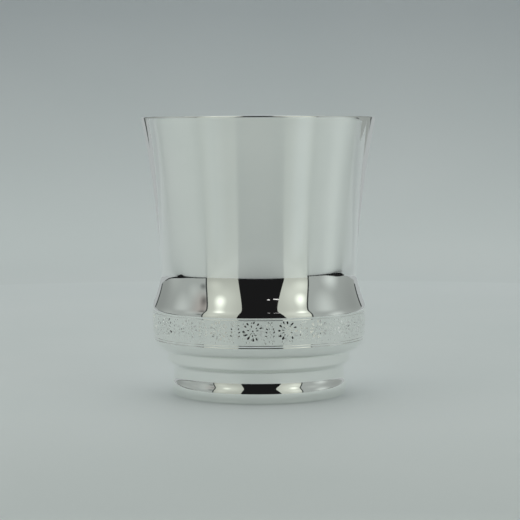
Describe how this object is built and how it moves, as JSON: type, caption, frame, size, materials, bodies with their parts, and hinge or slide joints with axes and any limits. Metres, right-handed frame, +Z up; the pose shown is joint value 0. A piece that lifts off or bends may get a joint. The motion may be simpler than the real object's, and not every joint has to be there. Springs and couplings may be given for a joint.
{
  "type": "silver-plated beaker",
  "caption": "Flared drinking beaker with a thin rim, a bulged belly with an engraved flower band, and a low stepped hollow foot.",
  "frame": {"origin": "centre of the circle that the foot stands on", "axes": "+Z up along the axis of the cup; the cup is round, and -Y faces the camera"},
  "size_m": [0.073, 0.073, 0.0865],
  "materials": {
    "silver_plate": "polished silver plate on brass"
  },
  "bodies": {
    "root": {"cup": "silver_plate", "foot": "silver_plate"}
  },
  "joints": []
}
